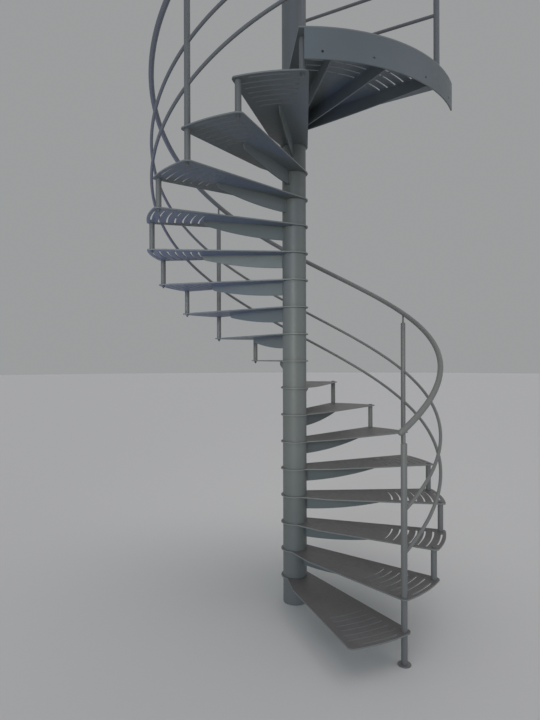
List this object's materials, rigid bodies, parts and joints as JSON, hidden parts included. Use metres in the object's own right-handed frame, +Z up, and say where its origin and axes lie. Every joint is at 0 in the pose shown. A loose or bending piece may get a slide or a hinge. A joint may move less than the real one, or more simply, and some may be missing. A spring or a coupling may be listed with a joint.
{
  "type": "spiral staircase",
  "caption": "Spiral staircase of painted steel: slotted plate treads on a central column, rim posts, a tube handrail and two rods along the helix, and a landing.",
  "frame": {"origin": "on the column's axis, at the underside of the base plate, level with the lower floor", "axes": "+Z up along the column; the first railing post stands at 52.4 degrees clockwise from +X seen from above, and the stair turns counter-clockwise going up"},
  "size_m": [1.9399, 1.9899, 4.383],
  "materials": {
    "column_paint": "satin",
    "tread_paint": "satin",
    "rail_paint": "satin",
    "fixing_paint": "satin"
  },
  "bodies": {
    "root": {"base_plate": "column_paint", "centre_pole": "column_paint", "column_sleeves": "column_paint", "column_top": "column_paint", "column_cap": "column_paint", "tread_01": "tread_paint", "tread_02": "tread_paint", "tread_03": "tread_paint", "tread_04": "tread_paint", "tread_05": "tread_paint", "tread_06": "tread_paint", "tread_07": "tread_paint", "tread_08": "tread_paint", "tread_09": "tread_paint", "tread_10": "tread_paint", "tread_11": "tread_paint", "tread_12": "tread_paint", "tread_13": "tread_paint", "tread_14": "tread_paint", "tread_15": "tread_paint", "tread_16": "tread_paint", "tread_17": "tread_paint", "tread_gussets": "tread_paint", "landing_plate": "tread_paint", "landing_ribs": "tread_paint", "landing_flange": "tread_paint", "start_post": "rail_paint", "post_05": "rail_paint", "post_10": "rail_paint", "post_15": "rail_paint", "post_17": "rail_paint", "start_foot": "rail_paint", "step_pillars": "rail_paint", "pillar_nuts": "fixing_paint", "pillar_caps": "fixing_paint", "rail_pins": "rail_paint", "handrail": "rail_paint", "upper_rod": "rail_paint", "lower_rod": "rail_paint", "landing_post": "rail_paint", "landing_pin": "rail_paint", "landing_rail": "rail_paint", "landing_rods": "rail_paint"}
  },
  "joints": []
}
